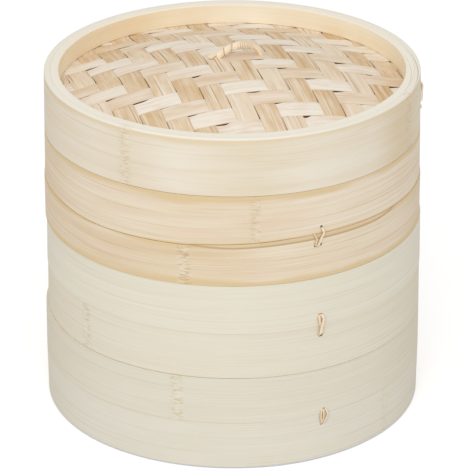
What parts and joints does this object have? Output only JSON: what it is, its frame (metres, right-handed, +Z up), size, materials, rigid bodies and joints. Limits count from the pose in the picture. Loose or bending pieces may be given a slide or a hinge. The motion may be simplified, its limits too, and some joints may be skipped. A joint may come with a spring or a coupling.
{
  "type": "bamboo steamer",
  "caption": "Round stacking bamboo steamer: lapped bamboo bands, slat floors and a domed woven lid with a wrapped bow handle.",
  "frame": {"origin": "centre of the ring that the bottom tier stands on", "axes": "+Z up along the stack's axis, -Y is the front that the picture shows, +X to the right"},
  "size_m": [0.2012, 0.2, 0.1985],
  "materials": {
    "lid_band": "planed bamboo, satin",
    "lid_inner_band": "planed bamboo, satin",
    "tier_top_band": "planed bamboo, satin",
    "tier_middle_band": "planed bamboo, satin",
    "tier_bottom_band": "planed bamboo, satin",
    "inner_hoop": "split bamboo, matte",
    "slat": "split bamboo, matte",
    "weft_strip": "split bamboo strip, satin",
    "warp_strip": "split bamboo strip with fibres showing, satin",
    "lining": "thin bamboo sheet, matte",
    "cane": "split cane, satin"
  },
  "bodies": {
    "tier_bottom": {"tier_bottom_lower_band": "tier_bottom_band", "tier_bottom_upper_band": "tier_bottom_band", "tier_bottom_inner_hoop": "inner_hoop", "tier_bottom_seat_hoop": "inner_hoop", "tier_bottom_slat_floor": "slat", "tier_bottom_stitch": "cane"},
    "tier_middle": {"tier_middle_lower_band": "tier_middle_band", "tier_middle_upper_band": "tier_middle_band", "tier_middle_inner_hoop": "inner_hoop", "tier_middle_seat_hoop": "inner_hoop", "tier_middle_slat_floor": "slat", "tier_middle_stitch": "cane"},
    "tier_top": {"tier_top_lower_band": "tier_top_band", "tier_top_upper_band": "tier_top_band", "tier_top_inner_hoop": "inner_hoop", "tier_top_seat_hoop": "inner_hoop", "tier_top_slat_floor": "slat", "tier_top_stitch": "cane"},
    "lid": {"lid_outer_band": "lid_band", "lid_inner_band": "lid_inner_band", "lid_seat_hoop": "inner_hoop", "lid_lining": "lining", "lid_weft_strip_01": "weft_strip", "lid_weft_strip_02": "weft_strip", "lid_weft_strip_03": "weft_strip", "lid_weft_strip_04": "weft_strip", "lid_weft_strip_05": "weft_strip", "lid_weft_strip_06": "weft_strip", "lid_weft_strip_07": "weft_strip", "lid_weft_strip_08": "weft_strip", "lid_weft_strip_09": "weft_strip", "lid_weft_strip_10": "weft_strip", "lid_weft_strip_11": "weft_strip", "lid_weft_strip_12": "weft_strip", "lid_weft_strip_13": "weft_strip", "lid_weft_strip_14": "weft_strip", "lid_weft_strip_15": "weft_strip", "lid_weft_strip_16": "weft_strip", "lid_warp_strip_01": "warp_strip", "lid_warp_strip_02": "warp_strip", "lid_warp_strip_03": "warp_strip", "lid_warp_strip_04": "warp_strip", "lid_warp_strip_05": "warp_strip", "lid_warp_strip_06": "warp_strip", "lid_warp_strip_07": "warp_strip", "lid_warp_strip_08": "warp_strip", "lid_warp_strip_09": "warp_strip", "lid_warp_strip_10": "warp_strip", "lid_warp_strip_11": "warp_strip", "lid_warp_strip_12": "warp_strip", "lid_warp_strip_13": "warp_strip", "lid_warp_strip_14": "warp_strip", "lid_warp_strip_15": "warp_strip", "lid_warp_strip_16": "warp_strip", "lid_warp_strip_17": "warp_strip", "lid_handle_core": "cane", "lid_handle_wrap": "cane", "lid_stitch_upper": "cane", "lid_stitch_lower": "cane"}
  },
  "joints": [
    {"name": "tier_middle_lift", "type": "slide", "parent": "tier_bottom", "child": "tier_middle", "axis": [0, 0, 1], "range_m": [0, 0.1]},
    {"name": "tier_top_lift", "type": "slide", "parent": "tier_middle", "child": "tier_top", "axis": [0, 0, 1], "range_m": [0, 0.1]},
    {"name": "lid_lift", "type": "slide", "parent": "tier_top", "child": "lid", "axis": [0, 0, 1], "range_m": [0, 0.1]}
  ]
}
